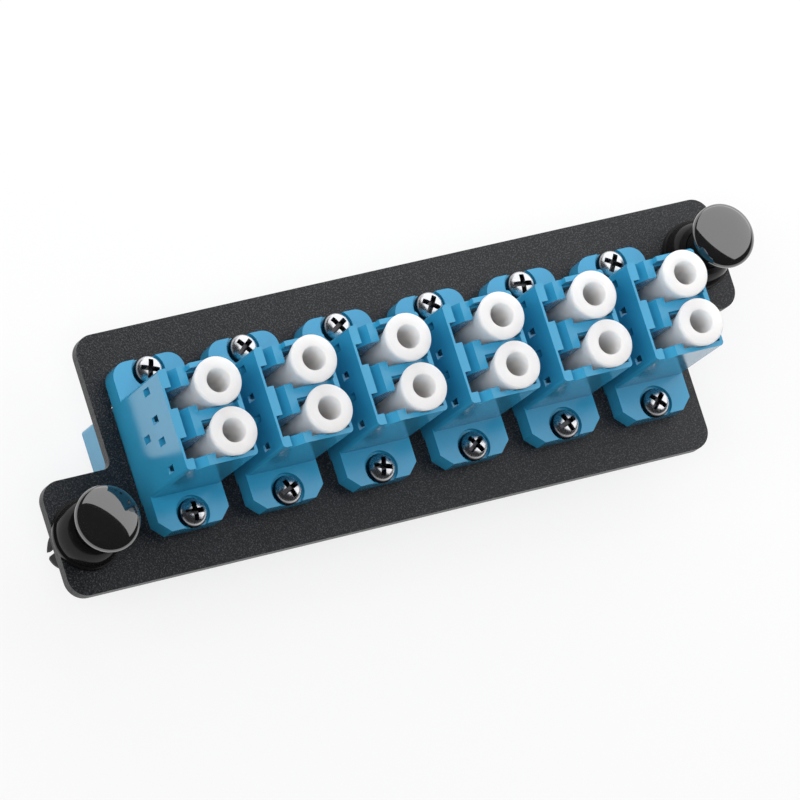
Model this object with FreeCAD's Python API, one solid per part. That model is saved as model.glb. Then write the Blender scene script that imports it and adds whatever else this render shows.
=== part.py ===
"""Fibre adapter panel: a Z shaped plate with six duplex adapters, dust caps and two push latches.

Frame: millimetres, +X along the panel, +Y up its face, +Z out of its front.
The origin is the centre of the plate's rear face, midway between the two latches.
"""
import FreeCAD
import Part
import math
import os

from FreeCAD import Vector

# Plate
PLATE_END = 7.15
PLATE_HEIGHT = 30.7
PLATE_THICKNESS = 1.5
EAR_REACH = 9.7
EAR_HEIGHT = 14.35
OUTER_RADIUS = 2.4
INNER_RADIUS = 1.0

# Adapter row
ADAPTERS = 6
ADAPTER_PITCH = 12.7
SCREW_SPACING = 18.0
PORT_PITCH = 6.25
PORT_OFFSET = 1.8

# Adapter housings
BODY_WIDTH = 9.4
BODY_HEIGHT = 12.5
HOOD_LENGTH = 12.7
TAIL_LENGTH = 11.2
FLANGE_HEIGHT = 21.3
FLANGE_HALF = 1.4
FLANGE_RADIUS = 2.0
FLANGE_CHAMFER = 1.4
BODY_CLEARANCE = 0.15
HOOD_RADIUS = 0.5
SOCKET_SIZE = 4.6
SOCKET_FLOOR = 2.2
MOUTH_SIZE = 5.0
MOUTH_DEPTH = 2.0
LATCH_WIDTH = 2.6
LATCH_DEPTH = 10.2
LATCH_DROP = 0.5
SIDE_WALL = 0.3
SHOULDER_BLOCK = 1.15
SHOULDER_DROP = 3.4
SHOULDER_STEP = 1.0
SHOULDER_LAND = 1.3
LOWER_RAMP_DROP = 1.3
WINDOW_WIDTH = 0.9
WINDOW_HEIGHT = 1.8
WINDOW_DEPTH = 1.1
WINDOW_BACK = 4.6
WINDOW_OUTER = 4.85
WINDOW_INNER = 1.35
WINDOW_CENTRE_BACK = 8.5

# Alignment sleeves
SLEEVE_RADIUS = 0.8
SLEEVE_BORE = 0.63
SLEEVE_LENGTH = 6.6
SLEEVE_CLEARANCE = 0.04

# Dust caps
CAP_RADIUS = 2.95
CAP_STAND = 1.7
CAP_RIM = 0.5
CAP_CONE = 3.2
CAP_FIT = 0.05
CAP_REACH = 9.2
CAP_BORE = 1.45
CAP_BORE_DEPTH = 7.0
COUNTERSINK_CLEARANCE = 0.12
REAR_CAP_STAND = 1.2
REAR_CAP_REACH = 7.4

# Screws and nuts
SCREW_RADIUS = 1.0
SCREW_HOLE_CLEARANCE = 0.12
HEAD_RADIUS = 1.8
HEAD_HEIGHT = 1.4
COUNTERBORE_RADIUS = 2.15
COUNTERBORE_DEPTH = 0.6
NUT_ACROSS_FLATS = 4.0
NUT_THICKNESS = 1.6
SCREW_TIP = 0.7

# Latches
LATCH_FROM_TIP = 4.0
LATCH_FROM_EDGE = 7.15
GROMMET_RADIUS = 4.4
GROMMET_RIM = 0.7
COLLAR_HEIGHT = 2.6
COLLAR_RADIUS = 4.15
COLLAR_WAIST = 3.95
COLLAR_TOP_RADIUS = 3.2
SHANK_RADIUS = 3.0
SHANK_CLEARANCE = 0.1
SHANK_BELOW = 0.3
BARREL_RADIUS = 2.7
BARREL_LENGTH = 6.4
BARREL_TIP_RADIUS = 2.2
BARREL_TAPER = 1.6
SLOT_WIDTH = 0.8
SLOT_TOP = 3.0
STEM_RADIUS = 1.7
STEM_CLEARANCE = 0.06
STEM_LENGTH = 9.9
NECK_RADIUS = 2.5
NECK_CLEARANCE = 0.08
NECK_LENGTH = 2.9
NECK_WELL = 3.1
KNOB_RADIUS = 4.1
KNOB_UNDERSIDE = 2.6
KNOB_EDGE = 0.8
KNOB_CROWN = 0.8
LOWER_LEFT_PULL = 1.5
UPPER_RIGHT_PULL = 2.7

# How far a cutting tool runs past a face
OVERSHOOT = 1.0

# Levels and places that follow from the sizes
FLANGE_SEAM = PLATE_THICKNESS + FLANGE_HALF
FLANGE_TOP = FLANGE_SEAM + FLANGE_HALF
HOOD_FACE = FLANGE_TOP + HOOD_LENGTH
TAIL_FACE = PLATE_THICKNESS - TAIL_LENGTH
HALF_WIDTH = BODY_WIDTH / 2
HALF_HEIGHT = BODY_HEIGHT / 2
ADAPTER_X = [(i - (ADAPTERS - 1) / 2) * ADAPTER_PITCH for i in range(ADAPTERS)]
PORT_Y = [PORT_PITCH / 2, -PORT_PITCH / 2]
SCREW_Y = [SCREW_SPACING / 2, -SCREW_SPACING / 2]
PLATE_LENGTH = (ADAPTERS - 1) * ADAPTER_PITCH + 2 * PLATE_END
LATCH_X = PLATE_LENGTH / 2 + EAR_REACH - LATCH_FROM_TIP
LATCH_Y = PLATE_HEIGHT / 2 - LATCH_FROM_EDGE
LATCHES = [
    ("lower_left", -LATCH_X, -LATCH_Y, LOWER_LEFT_PULL),
    ("upper_right", LATCH_X, LATCH_Y, UPPER_RIGHT_PULL),
]
COLLAR_BASE = PLATE_THICKNESS + GROMMET_RIM
COLLAR_TOP = COLLAR_BASE + COLLAR_HEIGHT


def block(x_low, x_high, y_low, y_high, z_low, z_high):
    """A box between two corners."""
    return Part.makeBox(x_high - x_low, y_high - y_low, z_high - z_low, Vector(x_low, y_low, z_low))


def cylinder(x, y, z_low, z_high, radius):
    """An upright cylinder."""
    return Part.makeCylinder(radius, z_high - z_low, Vector(x, y, z_low))


def prism(points, direction):
    """A flat outline pushed along a direction."""
    return Part.Face(Part.makePolygon(points + points[:1])).extrude(direction)


def turned(profile, x, y):
    """A solid of revolution about an upright axis, from radius and height pairs.

    A third value of 1 makes a pair the middle of an arc between its neighbours.
    """
    points = [Vector(pair[0], 0, pair[1]) for pair in profile]
    bowed = [len(pair) > 2 for pair in profile]
    edges = []
    for i, here in enumerate(points):
        after = points[(i + 1) % len(points)]
        if bowed[i]:
            edges.append(Part.Arc(points[i - 1], here, after).toShape())
        elif not bowed[(i + 1) % len(points)]:
            edges.append(Part.makeLine(here, after))
    solid = Part.Face(Part.Wire(edges)).revolve(Vector(0, 0, 0), Vector(0, 0, 1), 360)
    solid.translate(Vector(x, y, 0))
    return solid


def rounded_outline(corners, z):
    """A closed wire through corners, each given as x, y and its own radius."""
    points = [Vector(x, y, z) for x, y, _ in corners]
    starts, ends, middles = [], [], []
    for i, (_, _, radius) in enumerate(corners):
        here, before, after = points[i], points[i - 1], points[(i + 1) % len(points)]
        inward = (before - here).normalize()
        outward = (after - here).normalize()
        half = inward.getAngle(outward) / 2
        reach = radius / math.tan(half)
        starts.append(here + inward * reach)
        ends.append(here + outward * reach)
        bisector = (inward + outward).normalize()
        middles.append(here + bisector * (radius / math.sin(half) - radius))
    edges = []
    for i in range(len(points)):
        edges.append(Part.Arc(starts[i], middles[i], ends[i]).toShape())
        edges.append(Part.makeLine(ends[i], starts[(i + 1) % len(points)]))
    return Part.Wire(edges)


def panel_plate():
    """The Z shaped plate: two diagonal ears, adapter cut-outs, screw holes and latch holes."""
    half_length = PLATE_LENGTH / 2
    half_height = PLATE_HEIGHT / 2
    tip = half_length + EAR_REACH
    step = half_height - EAR_HEIGHT
    half_outline = [
        (tip, half_height, OUTER_RADIUS),
        (-half_length, half_height, OUTER_RADIUS),
        (-half_length, -step, INNER_RADIUS),
        (-tip, -step, OUTER_RADIUS),
    ]
    corners = half_outline + [(-x, -y, radius) for x, y, radius in half_outline]
    plate = Part.Face(rounded_outline(corners, 0)).extrude(Vector(0, 0, PLATE_THICKNESS))
    half_slot_x = HALF_WIDTH + BODY_CLEARANCE
    half_slot_y = HALF_HEIGHT + BODY_CLEARANCE
    low, high = -OVERSHOOT, PLATE_THICKNESS + OVERSHOOT
    cuts = []
    for x in ADAPTER_X:
        cuts.append(block(x - half_slot_x, x + half_slot_x, -half_slot_y, half_slot_y, low, high))
        for y in SCREW_Y:
            cuts.append(cylinder(x, y, low, high, SCREW_RADIUS + SCREW_HOLE_CLEARANCE))
    for _, x, y, _ in LATCHES:
        cuts.append(cylinder(x, y, low, high, SHANK_RADIUS + SHANK_CLEARANCE))
    return plate.cut(cuts)


def flange_half(x, z_low, z_high):
    """Half of the adapter's flange: rounded upper corners and chamfered lower ones."""
    right = x + HALF_WIDTH
    left = x - HALF_WIDTH
    top = FLANGE_HEIGHT / 2
    radius = FLANGE_RADIUS
    bevel = FLANGE_CHAMFER
    turn = radius * (1 - math.sqrt(0.5))
    edges = [
        Part.makeLine(Vector(left, bevel - top, z_low), Vector(left, top - radius, z_low)),
        Part.Arc(
            Vector(left, top - radius, z_low),
            Vector(left + turn, top - turn, z_low),
            Vector(left + radius, top, z_low),
        ).toShape(),
        Part.makeLine(Vector(left + radius, top, z_low), Vector(right - radius, top, z_low)),
        Part.Arc(
            Vector(right - radius, top, z_low),
            Vector(right - turn, top - turn, z_low),
            Vector(right, top - radius, z_low),
        ).toShape(),
        Part.makeLine(Vector(right, top - radius, z_low), Vector(right, bevel - top, z_low)),
        Part.makeLine(Vector(right, bevel - top, z_low), Vector(right - bevel, -top, z_low)),
        Part.makeLine(Vector(right - bevel, -top, z_low), Vector(left + bevel, -top, z_low)),
        Part.makeLine(Vector(left + bevel, -top, z_low), Vector(left, bevel - top, z_low)),
    ]
    return Part.Face(Part.Wire(edges)).extrude(Vector(0, 0, z_high - z_low))


def cap_radius(height_below_face):
    """The front cap's outer radius at a height below its face."""
    barrel = SOCKET_SIZE / 2 - CAP_FIT
    if height_below_face <= CAP_RIM:
        return CAP_RADIUS
    along = min(1.0, (height_below_face - CAP_RIM) / CAP_CONE)
    return CAP_RADIUS + (barrel - CAP_RADIUS) * along


def port_cuts(x, z_floor, z_latch_floor, z_open):
    """The square sockets and the latch channels beside them."""
    cuts = []
    half = SOCKET_SIZE / 2
    centre = x + PORT_OFFSET
    for y in PORT_Y:
        z_low, z_high = sorted((z_floor, z_open))
        cuts.append(block(centre - half, centre + half, y - half, y + half, z_low, z_high))
        z_low, z_high = sorted((z_latch_floor, z_open))
        latch_left = x - HALF_WIDTH + SIDE_WALL
        latch_low = y - LATCH_DROP - LATCH_WIDTH / 2
        cuts.append(block(latch_left, centre, latch_low, latch_low + LATCH_WIDTH, z_low, z_high))
    return cuts


def shoulder_cuts(x):
    """Ramps between the hood's corner blocks and its sockets, where plug latches slide in.

    They run out through the end walls, and the lower end wall is cut less deep.
    """
    start = x - HALF_WIDTH + SHOULDER_BLOCK
    stop = x + PORT_OFFSET - SOCKET_SIZE / 2
    low = PORT_Y[-1] - LATCH_DROP - LATCH_WIDTH / 2
    open_z = HOOD_FACE + OVERSHOOT
    deep = [
        Vector(start, low, open_z),
        Vector(start, low, HOOD_FACE - SHOULDER_DROP),
        Vector(stop - SHOULDER_LAND, low, HOOD_FACE - SHOULDER_STEP),
        Vector(stop, low, HOOD_FACE - SHOULDER_STEP),
        Vector(stop, low, open_z),
    ]
    shallow = [
        Vector(start, low, open_z),
        Vector(start, low, HOOD_FACE - LOWER_RAMP_DROP),
        Vector(stop - SHOULDER_LAND, low, HOOD_FACE),
        Vector(stop - SHOULDER_LAND, low, open_z),
    ]
    return [
        prism(deep, Vector(0, HALF_HEIGHT + OVERSHOOT - low, 0)),
        prism(shallow, Vector(0, -HALF_HEIGHT - OVERSHOOT - low, 0)),
    ]


def divider_cut(x):
    """Lowers the thin wall between the two sockets, which the caps' heads pass over."""
    right = x + PORT_OFFSET + SOCKET_SIZE / 2
    left = x + PORT_OFFSET - SOCKET_SIZE / 2 - SHOULDER_LAND
    half = PORT_PITCH / 2
    return block(left, right, -half, half, HOOD_FACE - SHOULDER_STEP, HOOD_FACE + OVERSHOOT)


def port_mouths(x, z_low, z_high):
    """The wider square mouths of the sockets."""
    half = MOUTH_SIZE / 2
    centre = x + PORT_OFFSET
    return [block(centre - half, centre + half, y - half, y + half, z_low, z_high) for y in PORT_Y]


def cap_countersinks(x):
    """Conical room round each cap's head."""
    cuts = []
    low = HOOD_FACE + CAP_STAND - CAP_RIM - CAP_CONE
    high = HOOD_FACE + CAP_STAND - CAP_RIM
    small = cap_radius(CAP_RIM + CAP_CONE) + COUNTERSINK_CLEARANCE
    large = CAP_RADIUS + COUNTERSINK_CLEARANCE
    for y in PORT_Y:
        cuts.append(Part.makeCone(small, large, high - low, Vector(x + PORT_OFFSET, y, low)))
    return cuts


def side_windows(x):
    """Moulding windows in the latch side wall."""
    rows = (WINDOW_OUTER, WINDOW_INNER, -WINDOW_INNER, -WINDOW_OUTER)
    places = [(y, HOOD_FACE - WINDOW_BACK) for y in rows]
    places.append((0, HOOD_FACE - WINDOW_CENTRE_BACK))
    left = x - HALF_WIDTH
    half_w, half_h = WINDOW_WIDTH / 2, WINDOW_HEIGHT / 2
    return [
        block(left - OVERSHOOT, left + WINDOW_DEPTH, y - half_w, y + half_w, z - half_h, z + half_h)
        for y, z in places
    ]


def sleeve_bores(x, z_low, z_high):
    """Bores for the alignment sleeves."""
    radius = SLEEVE_RADIUS + SLEEVE_CLEARANCE
    return [cylinder(x + PORT_OFFSET, y, z_low, z_high, radius) for y in PORT_Y]


def flange_holes(x):
    """Screw holes through the flange, with counterbores in its front face."""
    high = FLANGE_TOP + OVERSHOOT
    cuts = []
    for y in SCREW_Y:
        cuts.append(cylinder(x, y, 0, high, SCREW_RADIUS + SCREW_HOLE_CLEARANCE))
        cuts.append(cylinder(x, y, FLANGE_TOP - COUNTERBORE_DEPTH, high, COUNTERBORE_RADIUS))
    return cuts


def rounded_block(x, z_low, z_high):
    """A housing's plain body, its four long edges rounded."""
    body = block(x - HALF_WIDTH, x + HALF_WIDTH, -HALF_HEIGHT, HALF_HEIGHT, z_low, z_high)
    upright = [edge for edge in body.Edges if abs(edge.BoundBox.ZLength - (z_high - z_low)) < 0.001]
    return body.makeFillet(HOOD_RADIUS, upright)


def front_housing(x):
    """The moulded half in front of the panel: half a flange and a hood with two ports."""
    solid = flange_half(x, FLANGE_SEAM, FLANGE_TOP).fuse(rounded_block(x, FLANGE_SEAM, HOOD_FACE))
    floor = FLANGE_SEAM + SOCKET_FLOOR
    high = HOOD_FACE + OVERSHOOT
    cuts = port_cuts(x, floor, HOOD_FACE - LATCH_DEPTH, high) + port_mouths(x, HOOD_FACE - MOUTH_DEPTH, high)
    cuts += shoulder_cuts(x) + [divider_cut(x)] + cap_countersinks(x) + side_windows(x)
    cuts += flange_holes(x) + sleeve_bores(x, FLANGE_SEAM - OVERSHOOT, floor + OVERSHOOT)
    return solid.cut(cuts).removeSplitter()


def rear_housing(x):
    """The moulded half behind the panel: half a flange and a tail with two ports."""
    solid = flange_half(x, PLATE_THICKNESS, FLANGE_SEAM).fuse(rounded_block(x, TAIL_FACE, FLANGE_SEAM))
    floor = FLANGE_SEAM - SOCKET_FLOOR
    cuts = port_cuts(x, floor, TAIL_FACE + LATCH_DEPTH, TAIL_FACE - OVERSHOOT) + flange_holes(x)
    cuts += sleeve_bores(x, floor - OVERSHOOT, FLANGE_SEAM + OVERSHOOT)
    return solid.cut(cuts).removeSplitter()


def alignment_sleeves():
    """Twelve ceramic sleeves, each spanning the seam between two housings."""
    low = FLANGE_SEAM - SLEEVE_LENGTH / 2
    high = FLANGE_SEAM + SLEEVE_LENGTH / 2
    sleeves = []
    for x in ADAPTER_X:
        for y in PORT_Y:
            tube = cylinder(x + PORT_OFFSET, y, low, high, SLEEVE_RADIUS)
            bore = cylinder(x + PORT_OFFSET, y, low - OVERSHOOT, high + OVERSHOOT, SLEEVE_BORE)
            sleeves.append(tube.cut(bore))
    return Part.makeCompound(sleeves)


def front_cap(x, y):
    """A dust cap with a conical head, a plain barrel and a blind bore."""
    face = HOOD_FACE + CAP_STAND
    barrel = SOCKET_SIZE / 2 - CAP_FIT
    end = HOOD_FACE - CAP_REACH
    profile = [
        (0, end),
        (barrel, end),
        (barrel, face - CAP_RIM - CAP_CONE),
        (CAP_RADIUS, face - CAP_RIM),
        (CAP_RADIUS, face),
        (CAP_BORE, face),
        (CAP_BORE, face - CAP_BORE_DEPTH),
        (0, face - CAP_BORE_DEPTH),
    ]
    return turned(profile, x + PORT_OFFSET, y)


def rear_cap(x, y):
    """A shorter dust cap with a flat head that seats on the tail's face."""
    face = TAIL_FACE - REAR_CAP_STAND
    barrel = SOCKET_SIZE / 2 - CAP_FIT
    profile = [
        (0, face),
        (CAP_RADIUS, face),
        (CAP_RADIUS, TAIL_FACE),
        (barrel, TAIL_FACE),
        (barrel, TAIL_FACE + REAR_CAP_REACH),
        (0, TAIL_FACE + REAR_CAP_REACH),
    ]
    return turned(profile, x + PORT_OFFSET, y)


def panel_screws():
    """Pan head screws through flange and plate, their heads in the counterbores."""
    seat = FLANGE_TOP - COUNTERBORE_DEPTH
    top = seat + HEAD_HEIGHT
    screws = []
    for x in ADAPTER_X:
        for y in SCREW_Y:
            profile = [
                (0, -NUT_THICKNESS - SCREW_TIP),
                (SCREW_RADIUS, -NUT_THICKNESS - SCREW_TIP),
                (SCREW_RADIUS, seat),
                (HEAD_RADIUS, seat),
                (HEAD_RADIUS, top),
                (0, top),
            ]
            screws.append(turned(profile, x, y))
    return Part.makeCompound(screws)


def panel_nuts():
    """Hexagon nuts against the plate's rear face."""
    corner = NUT_ACROSS_FLATS / math.sqrt(3)
    angles = [math.radians(30 + 60 * i) for i in range(6)]
    nuts = []
    for x in ADAPTER_X:
        for y in SCREW_Y:
            across = [(x + corner * math.cos(a), y + corner * math.sin(a)) for a in angles]
            points = [Vector(*pair, -NUT_THICKNESS) for pair in across]
            nut = prism(points, Vector(0, 0, NUT_THICKNESS))
            nuts.append(nut.cut(cylinder(x, y, -NUT_THICKNESS - OVERSHOOT, OVERSHOOT, SCREW_RADIUS)))
    return Part.makeCompound(nuts)


def latch_grommet(x, y):
    """The latch's rounded collar, snapped through the plate, and its split barrel."""
    well = NECK_RADIUS + NECK_CLEARANCE
    bore = STEM_RADIUS + STEM_CLEARANCE
    profile = [
        (well, COLLAR_TOP - NECK_WELL),
        (well, COLLAR_TOP),
        (COLLAR_TOP_RADIUS, COLLAR_TOP),
        (COLLAR_WAIST, COLLAR_BASE + COLLAR_HEIGHT / 2, 1),
        (COLLAR_RADIUS, COLLAR_BASE),
        (GROMMET_RADIUS, COLLAR_BASE),
        (GROMMET_RADIUS, PLATE_THICKNESS),
        (SHANK_RADIUS, PLATE_THICKNESS),
        (SHANK_RADIUS, -SHANK_BELOW),
        (BARREL_RADIUS, -SHANK_BELOW),
        (BARREL_RADIUS, BARREL_TAPER - BARREL_LENGTH),
        (BARREL_TIP_RADIUS, -BARREL_LENGTH),
        (bore, -BARREL_LENGTH),
        (bore, COLLAR_TOP - NECK_WELL),
    ]
    grommet = turned(profile, x, y)
    half, reach = SLOT_WIDTH / 2, BARREL_RADIUS + OVERSHOOT
    low = -BARREL_LENGTH - OVERSHOOT
    slots = [
        block(x - half, x + half, y - reach, y + reach, low, -SLOT_TOP),
        block(x - reach, x + reach, y - half, y + half, low, -SLOT_TOP),
    ]
    return grommet.cut(slots)


def latch_plunger(x, y, pull):
    """The latch's stem, neck and domed knob, pulled out of its collar."""
    under = COLLAR_TOP + pull
    edge_low = under + KNOB_UNDERSIDE
    edge_high = edge_low + KNOB_EDGE
    crown = edge_high + KNOB_CROWN
    dome = (KNOB_RADIUS ** 2 + KNOB_CROWN ** 2) / (2 * KNOB_CROWN)
    half_turn = math.asin(KNOB_RADIUS / dome) / 2
    profile = [
        (0, under - STEM_LENGTH),
        (STEM_RADIUS, under - STEM_LENGTH),
        (STEM_RADIUS, under - NECK_LENGTH),
        (NECK_RADIUS, under - NECK_LENGTH),
        (NECK_RADIUS, under),
        (KNOB_RADIUS, edge_low),
        (KNOB_RADIUS, edge_high),
        (dome * math.sin(half_turn), crown - dome * (1 - math.cos(half_turn)), 1),
        (0, crown),
    ]
    return turned(profile, x, y)


def build():
    """Every node of the panel, by name."""
    nodes = {"panel_plate": panel_plate()}
    for i, x in enumerate(ADAPTER_X, 1):
        nodes[f"front_housing_{i}"] = front_housing(x)
        nodes[f"rear_housing_{i}"] = rear_housing(x)
        for place, y in zip(("upper", "lower"), PORT_Y):
            nodes[f"front_cap_{place}_{i}"] = front_cap(x, y)
            nodes[f"rear_cap_{place}_{i}"] = rear_cap(x, y)
    nodes["alignment_sleeves"] = alignment_sleeves()
    nodes["panel_screws"] = panel_screws()
    nodes["panel_nuts"] = panel_nuts()
    for place, x, y, pull in LATCHES:
        nodes[f"latch_grommet_{place}"] = latch_grommet(x, y)
        nodes[f"latch_plunger_{place}"] = latch_plunger(x, y, pull)
    return nodes


os.makedirs("parts", exist_ok=True)
for name, shape in build().items():
    shape.exportStep(f"parts/{name}.step")
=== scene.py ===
"""Fibre adapter panel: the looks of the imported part, made in Blender.

Metres, in the part's own frame: +X along the panel, +Y across it, +Z out of its front.
The panel lies on its back on a white paper floor, seen from above its lower left end.
"""
import math

import bmesh
import bpy
from mathutils import Matrix, Vector


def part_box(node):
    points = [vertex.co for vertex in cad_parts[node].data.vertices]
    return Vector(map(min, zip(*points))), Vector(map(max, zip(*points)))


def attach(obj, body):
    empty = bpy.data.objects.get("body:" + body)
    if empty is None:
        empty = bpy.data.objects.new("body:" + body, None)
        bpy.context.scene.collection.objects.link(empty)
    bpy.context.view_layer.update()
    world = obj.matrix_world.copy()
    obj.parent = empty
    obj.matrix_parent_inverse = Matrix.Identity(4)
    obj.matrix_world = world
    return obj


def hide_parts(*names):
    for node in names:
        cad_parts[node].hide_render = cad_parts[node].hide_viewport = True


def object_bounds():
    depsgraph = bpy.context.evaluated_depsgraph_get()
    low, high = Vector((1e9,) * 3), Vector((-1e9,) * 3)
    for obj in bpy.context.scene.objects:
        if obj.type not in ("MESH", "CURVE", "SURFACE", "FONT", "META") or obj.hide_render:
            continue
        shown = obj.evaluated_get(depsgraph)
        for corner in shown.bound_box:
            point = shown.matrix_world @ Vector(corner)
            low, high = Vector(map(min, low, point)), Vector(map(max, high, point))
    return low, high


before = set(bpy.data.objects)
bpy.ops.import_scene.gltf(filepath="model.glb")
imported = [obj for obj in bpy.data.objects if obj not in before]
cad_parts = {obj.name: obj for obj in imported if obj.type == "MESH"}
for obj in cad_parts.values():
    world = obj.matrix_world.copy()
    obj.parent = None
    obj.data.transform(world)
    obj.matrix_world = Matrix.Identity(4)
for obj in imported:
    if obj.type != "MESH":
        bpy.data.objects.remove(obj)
cad_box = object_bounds()

# Studio: camera, floor and light
# A long lens looks down on the panel, as in the photograph. One large softbox leans over its upper
# right side, two weaker lamps light its left side and its front, and the paper floor shows white but
# keeps the shadow. The room is dark overhead, so that the knobs show the softbox's outline.
CAMERA_PLACE = (-0.40287, -0.15537, 0.83702)
CAMERA_TURN = (17.069, -21.654, -18.797)
CAMERA_LENS = 349.6
CAMERA_REACH = 10.0
FLOOR_SIZE = 6.0
FLOOR_COLOUR = (0.86, 0.86, 0.86, 1)
PAPER_WHITE = (1.0, 1.0, 1.0, 1)
PAPER_GLOW = 0.80
SQUARE = ((-1, -1), (1, -1), (1, 1), (-1, 1))
ROOM_COLOUR = (0.09, 0.095, 0.10, 1)
CEILING_COLOUR = (0.03, 0.03, 0.032, 1)
HORIZON_TOP = 0.02
CEILING_START = 0.16
PANEL_MIDDLE = (0.0, 0.0, 0.0)
SOFTBOX_PLACE = (0.117, 0.150, 0.081)
SOFTBOX_AIM = (0.0885, 0.1245, 0.0)
SOFTBOX_SIZE = (0.45, 0.354)
SOFTBOX_POWER = 0.68
FILL_PLACE = (-0.42, 0.06, 0.36)
FILL_SIZE = (0.35, 0.35)
FILL_POWER = 1.2
TOP_PLACE = (-0.22, -0.09, 0.46)
TOP_SIZE = (0.25, 0.25)
TOP_POWER = 1.0


class Wire:
    """A socket of a node tree. Arithmetic on it adds Math nodes, and node() adds any other node."""

    def __init__(self, tree, socket=None):
        self.tree = tree
        self.socket = socket

    def node(self, kind, inputs=None, output=0, stops=(), **settings):
        """Adds a node: its settings first, then the values or links of its sockets."""
        added = self.tree.nodes.new("ShaderNode" + kind)
        for name, value in settings.items():
            setattr(added, name, value)
        for index, (place, colour) in enumerate(stops):
            marks = added.color_ramp.elements
            mark = marks[index] if index < 2 else marks.new(place)
            mark.position = place
            mark.color = colour
        for name, value in (inputs or {}).items():
            if isinstance(value, Wire):
                self.tree.links.new(value.socket, added.inputs[name])
            else:
                added.inputs[name].default_value = value
        return Wire(self.tree, added.outputs[output]) if added.outputs else None

    def math(self, operation, first, second):
        return self.node("Math", {0: first, 1: second}, operation=operation)

    def mixed(self, factor, first, second):
        """A colour between two colours."""
        return self.node("Mix", {0: factor, 6: first, 7: second}, output=2, data_type="RGBA")

    def __add__(self, other):
        return self.math("ADD", self, other)

    def __sub__(self, other):
        return self.math("SUBTRACT", self, other)

    def __rsub__(self, other):
        return self.math("SUBTRACT", other, self)

    def __mul__(self, other):
        return self.math("MULTIPLY", self, other)

    __radd__ = __add__
    __rmul__ = __mul__

    def clamped(self):
        """The value, kept between 0 and 1."""
        return self.math("MINIMUM", self.math("MAXIMUM", self, 0.0), 1.0)


def emptied(owner):
    """The wire that starts the nodes of a material or a world."""
    owner.use_nodes = True
    owner.node_tree.nodes.clear()
    return Wire(owner.node_tree)


def new_material(name):
    """An empty material and the wire that starts its nodes."""
    material = bpy.data.materials.new(name)
    return material, emptied(material)


def seen_directly(wire):
    """1 for rays from the camera, a reflection or a transmission, 0 for rays that gather light."""
    camera_ray, glossy_ray, transmission_ray = (
        wire.node("LightPath", output=f"Is {kind} Ray") for kind in ("Camera", "Glossy", "Transmission")
    )
    return wire.math("MINIMUM", camera_ray + glossy_ray + transmission_ray, 1.0)


def height_in(wire):
    """The height along Z, from the part's own coordinates."""
    return wire.node("SeparateXYZ", {"Vector": wire.node("TexCoord", output="Object")}, output="Z")


def new_piece(name, mesh):
    """A mesh as an object of the scene."""
    piece = bpy.data.objects.new(name, mesh)
    bpy.context.scene.collection.objects.link(piece)
    return piece


camera = bpy.data.objects.new("camera", bpy.data.cameras.new("camera"))
camera.data.lens = CAMERA_LENS
camera.data.clip_end = CAMERA_REACH
camera.location = CAMERA_PLACE
camera.rotation_euler = [math.radians(angle) for angle in CAMERA_TURN]
bpy.context.scene.collection.objects.link(camera)
bpy.context.scene.camera = camera

floor_mesh = bpy.data.meshes.new("floor")
half_floor = FLOOR_SIZE / 2
floor_level = cad_box[0][2]
floor_corners = [(x * half_floor, y * half_floor, floor_level) for x, y in SQUARE]
floor_mesh.from_pydata(floor_corners, [], [(0, 1, 2, 3)])
paper, wire = new_material("paper floor")
lit = wire.node("BsdfDiffuse", {"Color": FLOOR_COLOUR})
glow = wire.node("Emission", {"Color": PAPER_WHITE, "Strength": 1.0})
paper_look = wire.node("MixShader", {0: seen_directly(wire) * PAPER_GLOW, 1: lit, 2: glow})
wire.node("OutputMaterial", {"Surface": paper_look})
floor_mesh.materials.append(paper)
new_piece("floor", floor_mesh)

world = bpy.data.worlds.new("room")
wire = emptied(world)
rise = wire.node("SeparateXYZ", {"Vector": wire.node("TexCoord", output="Generated")}, output="Z")
horizon, ceiling = (HORIZON_TOP, PAPER_WHITE), (CEILING_START, CEILING_COLOUR)
sky = wire.node("ValToRGB", {"Fac": rise}, stops=(horizon, ceiling))
backdrop = wire.mixed(seen_directly(wire), ROOM_COLOUR, sky)
wire.node("OutputWorld", {"Surface": wire.node("Background", {"Color": backdrop, "Strength": 1.0})})
bpy.context.scene.world = world
bpy.context.scene.view_settings.view_transform = "Standard"


def area_lamp(name, place, aim, size, power):
    """A rectangular lamp that faces that point, itself out of the camera's view."""
    lamp = bpy.data.lights.new(name, "AREA")
    lamp.shape = "RECTANGLE"
    lamp.size, lamp.size_y = size
    lamp.energy = power
    stand = bpy.data.objects.new(name, lamp)
    stand.location = place
    stand.rotation_euler = (Vector(aim) - Vector(place)).to_track_quat("-Z", "Y").to_euler()
    stand.visible_camera = False
    bpy.context.scene.collection.objects.link(stand)
    return stand


area_lamp("softbox", SOFTBOX_PLACE, SOFTBOX_AIM, SOFTBOX_SIZE, SOFTBOX_POWER)
for weak_lamp in (
    area_lamp("fill", FILL_PLACE, PANEL_MIDDLE, FILL_SIZE, FILL_POWER),
    area_lamp("top light", TOP_PLACE, PANEL_MIDDLE, TOP_SIZE, TOP_POWER),
):
    weak_lamp.visible_glossy = False

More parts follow.
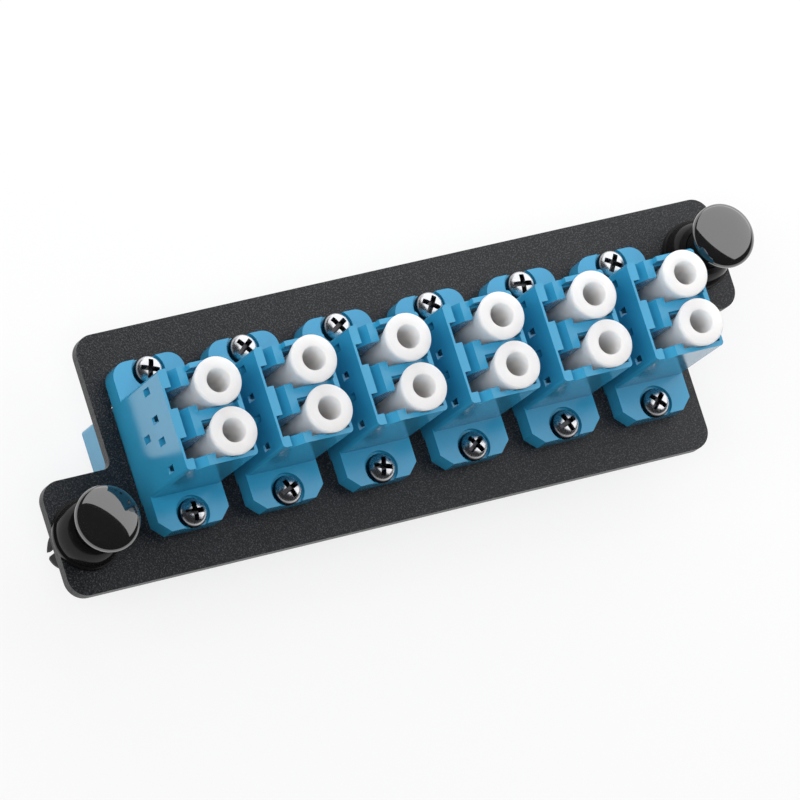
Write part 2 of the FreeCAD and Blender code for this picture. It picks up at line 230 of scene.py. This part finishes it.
# Panel plate
# A Z shaped plate of 1.5 mm sheet steel with a fine textured powder coat, charcoal with paler grains.
# It is punched and coated in one piece, so its punched edges are soft under the coat.
COAT_DARK = (0.005, 0.006, 0.008, 1)
COAT_LIGHT = (0.072, 0.072, 0.076, 1)
COAT_PEBBLE = 0.00036
COAT_SPECK = 0.00017
SPECK_SHARE = 0.6
SPECK_STARTS = 0.50
SPECK_FULL = 0.76
COAT_RELIEF = 0.00005
COAT_ROUGH = 0.34
COAT_ROUGH_SPREAD = 0.14
PLATE_EDGE = 0.00015
MERGE_DISTANCE = 0.000002
FLAT_ANGLE = math.radians(0.6)
SHARP_ANGLE = math.radians(24)
WIDEST_FACE_ONLY = 100
BLACK = (0, 0, 0, 1)
WHITE = (1, 1, 1, 1)


def grain(wire, size, detail=2.0):
    """Noise with features of about that size, fixed to the part."""
    place = wire.node("TexCoord", output="Object")
    return wire.node("TexNoise", {"Vector": place, "Scale": 1 / size, "Detail": detail})


def relief(wire, height, depth):
    """A bump of that depth."""
    return wire.node("Bump", {"Height": height, "Distance": depth, "Strength": 1.0})


def surface(wire, **sockets):
    """The principled shader with these sockets, named with _ for a space."""
    inputs = {name.replace("_", " "): value for name, value in sockets.items()}
    wire.node("OutputMaterial", {"Surface": wire.node("BsdfPrincipled", inputs)})


def mesh_of(form, name):
    """The form as a mesh. The form itself goes."""
    mesh = bpy.data.meshes.new(name)
    form.to_mesh(mesh)
    form.free()
    return mesh


def apply_modifiers(piece):
    """Gives the piece the mesh that its modifiers make, and clears them."""
    graph = bpy.context.evaluated_depsgraph_get()
    made = bpy.data.meshes.new_from_object(piece.evaluated_get(graph))
    piece.modifiers.clear()
    piece.data = made


def stands_for(piece, node, body):
    """Lets the piece ride on that body in place of the node."""
    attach(piece, body)
    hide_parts(node)


def softened(node, edge, material, body="panel", segments=2):
    """The node's own form with its edges rounded by that much. It stands for the node."""
    form = bmesh.new()
    form.from_mesh(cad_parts[node].data)
    bmesh.ops.remove_doubles(form, verts=form.verts, dist=MERGE_DISTANCE)
    bmesh.ops.dissolve_limit(form, angle_limit=FLAT_ANGLE, verts=form.verts, edges=form.edges)
    for face in form.faces:
        face.smooth = True
    mesh = mesh_of(form, node + "_finished")
    mesh.materials.append(material)
    piece = new_piece(node + "_finished", mesh)
    bevel = piece.modifiers.new("rounded edges", "BEVEL")
    bevel.width = edge
    bevel.segments = segments
    bevel.limit_method = "ANGLE"
    bevel.angle_limit = SHARP_ANGLE
    bevel.miter_outer = "MITER_ARC"
    shading = piece.modifiers.new("flat faces stay flat", "WEIGHTED_NORMAL")
    shading.mode = "FACE_AREA_WITH_ANGLE"
    shading.weight = WIDEST_FACE_ONLY
    apply_modifiers(piece)
    stands_for(piece, node, body)
    return piece


def copied(piece, first, node, body="panel"):
    """A copy of the first node's finished piece, moved to where a like node lies. It stands for that node."""
    mesh = piece.data.copy()
    mesh.transform(Matrix.Translation(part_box(node)[0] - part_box(first)[0]))
    stands_for(new_piece(node + "_finished", mesh), node, body)


powder_coat, wire = new_material("powder coat")
pebbles = grain(wire, COAT_PEBBLE, detail=3.0)
specks = grain(wire, COAT_SPECK, detail=1.0)
pale = wire.node("ValToRGB", {"Fac": specks}, stops=((SPECK_STARTS, BLACK), (SPECK_FULL, WHITE)))
surface(
    wire,
    IOR=1.45,
    Base_Color=wire.mixed(pale, COAT_DARK, COAT_LIGHT),
    Roughness=COAT_ROUGH + COAT_ROUGH_SPREAD * pebbles,
    Normal=relief(wire, pebbles + SPECK_SHARE * specks, COAT_RELIEF),
)
softened("panel_plate", PLATE_EDGE, powder_coat)

# Adapter housings
# Each duplex adapter is two moulded halves of cyan blue plastic, clamped on the plate by their flanges:
# the hood in front with its ports and latch channels, the tail behind. Mould edges are barely rounded.
BLUE = (0.036, 0.330, 0.56, 1)
BLUE_DEEP = (0.028, 0.290, 0.505, 1)
BLUE_CLOUD = 0.006
MOULD_GRAIN = 0.00007
MOULD_RELIEF = 0.000004
MOULD_ROUGH = 0.11
MOULD_ROUGH_SPREAD = 0.11
HOUSING_EDGE = 0.00009
ADAPTERS = range(1, 7)

blue_plastic, wire = new_material("blue moulded plastic")
clouds = grain(wire, BLUE_CLOUD)
mould = grain(wire, MOULD_GRAIN)
surface(
    wire,
    Base_Color=wire.mixed(clouds, BLUE, BLUE_DEEP),
    Roughness=MOULD_ROUGH + MOULD_ROUGH_SPREAD * mould,
    IOR=1.55,
    Coat_Weight=0.2,
    Coat_Roughness=0.15,
    Normal=relief(wire, mould, MOULD_RELIEF),
)
for housing in ("front_housing_", "rear_housing_"):
    shell = softened(housing + "1", HOUSING_EDGE, blue_plastic)
    for adapter in ADAPTERS[1:]:
        copied(shell, housing + "1", f"{housing}{adapter}")

# Alignment sleeves
# Ground zirconia tubes inside each port, hidden behind the caps. They stay the CAD solids, with a
# ceramic finish.
CERAMIC = (0.90, 0.89, 0.85, 1)
CERAMIC_GRAIN = 0.00003
CERAMIC_ROUGH = 0.15
CERAMIC_ROUGH_SPREAD = 0.12

zirconia, wire = new_material("zirconia")
ground = grain(wire, CERAMIC_GRAIN)
surface(wire, Base_Color=CERAMIC, Roughness=CERAMIC_ROUGH + CERAMIC_ROUGH_SPREAD * ground)
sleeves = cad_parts["alignment_sleeves"].data.materials
sleeves.clear()
sleeves.append(zirconia)

# Dust caps
# Soft white polyethylene, slightly milky, pushed into each port by hand: a wide conical head in front,
# a flat head behind. The bore is moulded with them, so its edge and the rim are softly rounded.
CAP_WHITE = (0.92, 0.925, 0.93, 1)
CAP_SHADE = (0.88, 0.895, 0.905, 1)
CAP_CLOUD = 0.0012
CAP_GRAIN = 0.00012
CAP_RELIEF = 0.000005
CAP_ROUGH = 0.38
CAP_ROUGH_SPREAD = 0.15
CAP_GLOW_REACH = (0.85, 1.0, 1.1)
CAP_GLOW_DEPTH = 0.0042
CAP_EDGE = 0.00016

white_plastic, wire = new_material("white polyethylene")
milk = grain(wire, CAP_CLOUD)
skin = grain(wire, CAP_GRAIN)
surface(
    wire,
    Base_Color=wire.mixed(milk, CAP_WHITE, CAP_SHADE),
    Roughness=CAP_ROUGH + CAP_ROUGH_SPREAD * skin,
    Subsurface_Weight=1.0,
    Subsurface_Radius=CAP_GLOW_REACH,
    Subsurface_Scale=CAP_GLOW_DEPTH,
    Normal=relief(wire, skin, CAP_RELIEF),
)
for side in ("front", "rear"):
    first = side + "_cap_upper_1"
    cap = softened(first, CAP_EDGE, white_plastic, body=first)
    likes = [f"{side}_cap_{place}_{adapter}" for adapter in ADAPTERS for place in ("upper", "lower")]
    for like in likes[1:]:
        copied(cap, first, like, body=like)

# Panel screws
# Zinc plated pan head screws with a cross recess and a rolled thread, two to an adapter. One is built
# here, and a node tree sets copies of it in the CAD's two rows, each turned as the driver left it.
# The cross recess is painted dark below the head's face, a painted shade that shows dark between the bright
# quarters.
HEAD_RADIUS = 0.0018
HEAD_HEIGHT = 0.0014
HEAD_WALL = 0.0004
CROWN_RADIUS = 0.0007
CROWN_STEPS = 8
SHANK_RADIUS = 0.0010
THREAD_PITCH = 0.0004
THREAD_DEPTH = 0.00022
THREAD_STEPS = 6
THREAD_SECTORS = 24
RECESS_REACH = 0.00125
RECESS_WIDTH = 0.00064
RECESS_DEPTH = 0.00110
RECESS_FLOOR_SHARE = 0.75
CUT_OVER = 0.0001
SECTORS = 48
ROW_SEED = 7
PLATED = (0.80, 0.81, 0.83, 1)
PLATED_DULL = (0.62, 0.63, 0.66, 1)
POLISH_GRAIN = 0.00025
POLISH_RELIEF = 0.000004
POLISH_ROUGH = 0.16
POLISH_ROUGH_SPREAD = 0.20
# Painted shade for the cross recess: its colour below RECESS_SHALLOW, reached over RECESS_FADE.
RECESS_PAINTED_SHADE = (0.07, 0.07, 0.075, 1)
RECESS_SHALLOW = 0.00034
RECESS_FADE = 0.0003


def turn_angles(sectors):
    """The angles of that many points round a circle."""
    return [math.tau * i / sectors for i in range(sectors)]


def at_angle(form, radius, angle, height):
    """A new point of the form, at that radius and angle about Z."""
    return form.verts.new((radius * math.cos(angle), radius * math.sin(angle), height))


def skin_between(form, rings):
    """Faces from each ring to the next, turned outwards."""
    for lower, upper in zip(rings, rings[1:]):
        for i in range(len(lower)):
            j = (i + 1) % len(lower)
            corners = dict.fromkeys((lower[i], lower[j], upper[j], upper[i]))
            if len(corners) > 2:
                form.faces.new(list(corners)).smooth = True
    bmesh.ops.recalc_face_normals(form, faces=form.faces)


def turned(name, profile, sectors=SECTORS):
    """A turned form from radius and height pairs, with both ends on its axis."""
    form = bmesh.new()
    rings = []
    for radius, height in profile:
        if radius == 0:
            rings.append([form.verts.new((0, 0, height))] * sectors)
        else:
            rings.append([at_angle(form, radius, angle, height) for angle in turn_angles(sectors)])
    skin_between(form, rings)
    mesh = mesh_of(form, name)
    mesh.set_sharp_from_angle(angle=SHARP_ANGLE)
    return mesh


def recess_blade(top, depth):
    """One blade of the cross recess: long at the head's face, short at its floor."""
    corners = []
    for height, share in ((top, 1.0), (top - depth, RECESS_FLOOR_SHARE)):
        for x, y in SQUARE:
            corners.append((x * RECESS_REACH * share, y * RECESS_WIDTH / 2 * share, height))
    sides = [(i, (i + 1) % 4, (i + 1) % 4 + 4, i + 4) for i in range(4)]
    mesh = bpy.data.meshes.new("blade")
    mesh.from_pydata(corners, [], sides + [(3, 2, 1, 0), (4, 5, 6, 7)])
    form = bmesh.new()
    form.from_mesh(mesh)
    bmesh.ops.recalc_face_normals(form, faces=form.faces)
    form.to_mesh(mesh)
    form.free()
    return new_piece("blade", mesh)


def pan_head(seat):
    """The head with its cross recess."""
    top = seat + HEAD_HEIGHT
    crown = []
    for step in range(CROWN_STEPS + 1):
        angle = math.pi / 2 * step / CROWN_STEPS
        radius = CROWN_RADIUS + (HEAD_RADIUS - CROWN_RADIUS) * math.cos(angle)
        crown.append((radius, seat + HEAD_WALL + (HEAD_HEIGHT - HEAD_WALL) * math.sin(angle)))
    head = new_piece("head", turned("head", [(0, seat), (HEAD_RADIUS, seat)] + crown + [(0, top)]))
    blades = [recess_blade(top + CUT_OVER, RECESS_DEPTH + CUT_OVER) for _ in range(2)]
    blades[1].data.transform(Matrix.Rotation(math.pi / 2, 4, "Z"))
    for blade in blades:
        cut = head.modifiers.new("recess", "BOOLEAN")
        cut.object = blade
        cut.solver = "EXACT"
    apply_modifiers(head)
    mesh = head.data
    for spent in [head] + blades:
        bpy.data.objects.remove(spent)
    return mesh


def threaded_shank(tip, seat):
    """The shank: a ridge climbs it by one pitch a turn."""
    form = bmesh.new()
    rows = math.ceil((seat - tip) / THREAD_PITCH * THREAD_STEPS)
    rings = [[form.verts.new((0, 0, tip))] * THREAD_SECTORS]
    for row in range(rows + 1):
        height = tip + (seat - tip) * row / rows
        ring = []
        for i, angle in enumerate(turn_angles(THREAD_SECTORS)):
            turn = (height / THREAD_PITCH - i / THREAD_SECTORS) % 1
            ring.append(at_angle(form, SHANK_RADIUS - THREAD_DEPTH * abs(2 * turn - 1), angle, height))
        rings.append(ring)
    rings.append([form.verts.new((0, 0, seat))] * THREAD_SECTORS)
    skin_between(form, rings)
    return mesh_of(form, "shank")


def joined(meshes, name):
    """Several meshes as one."""
    form = bmesh.new()
    for mesh in meshes:
        form.from_mesh(mesh)
    return mesh_of(form, name)


def two_rows_tree():
    """A node tree that sets copies of a fastener in two rows, each copy turned by a random angle."""
    tree = bpy.data.node_groups.new("two rows of fasteners", "GeometryNodeTree")
    for name, kind in (
        ("Fastener", "NodeSocketGeometry"),
        ("Columns", "NodeSocketInt"),
        ("Row Length", "NodeSocketFloat"),
        ("Row Spacing", "NodeSocketFloat"),
        ("Finish", "NodeSocketMaterial"),
    ):
        tree.interface.new_socket(name, in_out="INPUT", socket_type=kind)
    tree.interface.new_socket("Fasteners", in_out="OUTPUT", socket_type="NodeSocketGeometry")

    def add(kind, links, **settings):
        """A node of the tree, its settings and what its inputs are linked to."""
        added = tree.nodes.new(kind)
        for name, value in settings.items():
            setattr(added, name, value)
        for name, source in links.items():
            if isinstance(source, bpy.types.NodeSocket):
                tree.links.new(source, added.inputs[name])
            else:
                added.inputs[name].default_value = source
        return added

    given = tree.nodes.new("NodeGroupInput").outputs
    rows = {"Size X": given["Row Length"], "Size Y": given["Row Spacing"]}
    places = add("GeometryNodeMeshGrid", rows | {"Vertices X": given["Columns"], "Vertices Y": 2})
    turn = add("FunctionNodeRandomValue", {2: 0.0, 3: math.tau, "Seed": ROW_SEED}, data_type="FLOAT")
    upright = add("ShaderNodeCombineXYZ", {"Z": turn.outputs[1]})
    set_out = add(
        "GeometryNodeInstanceOnPoints",
        {"Points": places.outputs["Mesh"], "Instance": given["Fastener"], "Rotation": upright.outputs[0]},
    )
    real = add("GeometryNodeRealizeInstances", {"Geometry": set_out.outputs[0]})
    painted = add("GeometryNodeSetMaterial", {"Geometry": real.outputs[0], "Material": given["Finish"]})
    add("NodeGroupOutput", {"Fasteners": painted.outputs[0]})
    return tree


def in_two_rows(node, mesh, half_size):
    """Copies of a plated fastener where the CAD node has them, as one piece that stands for it."""
    low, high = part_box(node)
    piece = new_piece(node + "_finished", mesh)
    rows = piece.modifiers.new("rows", "NODES")
    rows.node_group = fastener_rows
    values = {
        "Columns": len(ADAPTERS),
        "Row Length": high.x - low.x - 2 * half_size[0],
        "Row Spacing": high.y - low.y - 2 * half_size[1],
        "Finish": zinc_plate,
    }
    for socket in fastener_rows.interface.items_tree:
        if socket.name in values:
            rows[socket.identifier] = values[socket.name]
    apply_modifiers(piece)
    middle = (low + high) / 2
    piece.data.transform(Matrix.Translation((middle.x, middle.y, 0)))
    stands_for(piece, node, "panel")


screws_low, screws_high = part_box("panel_screws")
head_seat = screws_high.z - HEAD_HEIGHT
zinc_plate, wire = new_material("bright zinc plate")
polish = grain(wire, POLISH_GRAIN, detail=3.0)
height = height_in(wire)
# Painted shade: the recess is darker in the colour the deeper it goes below the head's face, standing in for
# its shadow.
painted_shade_depth = ((screws_high.z - RECESS_SHALLOW - height) * (1 / RECESS_FADE)).clamped()
painted_recess_shade = painted_shade_depth * wire.math("GREATER_THAN", height, head_seat)
surface(
    wire,
    Base_Color=wire.mixed(painted_recess_shade, wire.mixed(polish, PLATED, PLATED_DULL), RECESS_PAINTED_SHADE),
    Metallic=1.0,
    Roughness=POLISH_ROUGH + POLISH_ROUGH_SPREAD * polish,
    Normal=relief(wire, polish, POLISH_RELIEF),
)
fastener_rows = two_rows_tree()
screw = joined([pan_head(head_seat), threaded_shank(screws_low.z, head_seat)], "screw")
in_two_rows("panel_screws", screw, (HEAD_RADIUS, HEAD_RADIUS))

# Panel nuts
# Hexagon nuts of the same plated steel behind the plate, their corners chamfered on the rear side.
# The node tree of the screws sets them out too.
NUT_CHAMFER = 0.00205
NUT_SLOPE = math.tan(math.radians(30))

nuts_low, nuts_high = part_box("panel_nuts")
screw_row = screws_high.x - screws_low.x - 2 * HEAD_RADIUS
nut_half_width = (nuts_high.x - nuts_low.x - screw_row) / 2
nut_half_height = nut_half_width * 2 / math.sqrt(3)


def nut_mesh():
    """A nut with its flats facing along X, from rings about its bore."""
    form = bmesh.new()
    angles = turn_angles(SECTORS)
    outer = [nut_half_width / math.cos((a + math.pi / 6) % (math.pi / 3) - math.pi / 6) for a in angles]
    rear, front = nuts_low.z, nuts_high.z

    def ring(radii, heights):
        """One ring of points about the bore."""
        return [at_angle(form, *point) for point in zip(radii, angles, heights)]

    bore = [SHANK_RADIUS] * SECTORS
    face = [min(r, NUT_CHAMFER) for r in outer]
    drop = [rear + max(0.0, r - NUT_CHAMFER) * NUT_SLOPE for r in outer]
    rings = [
        ring(bore, [front] * SECTORS),
        ring(bore, [rear] * SECTORS),
        ring(face, [rear] * SECTORS),
        ring(outer, drop),
        ring(outer, [front] * SECTORS),
    ]
    skin_between(form, rings + rings[:1])
    bmesh.ops.remove_doubles(form, verts=form.verts, dist=MERGE_DISTANCE)
    for side in form.faces:
        side.smooth = False
    return mesh_of(form, "nut")


in_two_rows("panel_nuts", nut_mesh(), (nut_half_width, nut_half_height))

# Latches
# Two push-pull latches of glossy black nylon: a collar with a split barrel through the plate's ear, and
# a plunger that spreads the barrel when it is pushed home. The plunger is turned here, because its
# polished dome shows the softbox and has to be smooth.
NYLON = (0.006, 0.006, 0.007, 1)
NYLON_WORN = (0.011, 0.0105, 0.010, 1)
NYLON_CLOUD = 0.0009
NYLON_RELIEF = 0.000006
NYLON_ROUGH = 0.09
NYLON_ROUGH_SPREAD = 0.08
BARREL_ROUGH = 0.5
POLISH_FADE = 0.0012
GROMMET_EDGE = 0.00018
GROMMET_EDGE_STEPS = 3
STEM_RADIUS = 0.0017
STEM_LENGTH = 0.0099
NECK_RADIUS = 0.0025
NECK_LENGTH = 0.0029
KNOB_RADIUS = 0.0041
KNOB_UNDERSIDE = 0.0026
KNOB_EDGE = 0.00018
KNOB_SECTORS = 128
KNOB_STEPS = 24

black_nylon, wire = new_material("black nylon")
flow = grain(wire, NYLON_CLOUD)
height = height_in(wire)
behind_plate = wire.math("LESS_THAN", height, 0.0)
lower_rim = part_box("latch_plunger_lower_left")[0].z + STEM_LENGTH + KNOB_UNDERSIDE
polished = ((height - (lower_rim - POLISH_FADE)) * (1 / POLISH_FADE)).clamped()
surface(
    wire,
    Base_Color=wire.mixed(flow, NYLON, NYLON_WORN),
    Roughness=NYLON_ROUGH + NYLON_ROUGH_SPREAD * flow + behind_plate * BARREL_ROUGH,
    IOR=1.30,
    Coat_Weight=polished,
    Coat_Roughness=0.03,
    Coat_IOR=2.2,
    Normal=relief(wire, flow, NYLON_RELIEF),
)


def knob_and_stem(node):
    """The plunger's turned form: stem, neck, conical underside and domed knob."""
    low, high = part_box(node)
    under = low.z + STEM_LENGTH
    rim = under + KNOB_UNDERSIDE + KNOB_EDGE
    profile = [(0, low.z), (STEM_RADIUS, low.z), (STEM_RADIUS, under - NECK_LENGTH)]
    profile += [(NECK_RADIUS, under - NECK_LENGTH), (NECK_RADIUS, under), (KNOB_RADIUS, rim - KNOB_EDGE)]
    for step in range(KNOB_STEPS):
        angle = math.pi / 2 * step / KNOB_STEPS
        profile.append((KNOB_RADIUS * math.cos(angle), rim + (high.z - rim) * math.sin(angle)))
    mesh = turned(node + "_finished", profile + [(0, high.z)], KNOB_SECTORS)
    middle = (low + high) / 2
    mesh.transform(Matrix.Translation((middle.x, middle.y, 0)))
    mesh.materials.append(black_nylon)
    return new_piece(node + "_finished", mesh)


for place in ("lower_left", "upper_right"):
    grommet, plunger = f"latch_grommet_{place}", f"latch_plunger_{place}"
    softened(grommet, GROMMET_EDGE, black_nylon, segments=GROMMET_EDGE_STEPS)
    stands_for(knob_and_stem(plunger), plunger, plunger)
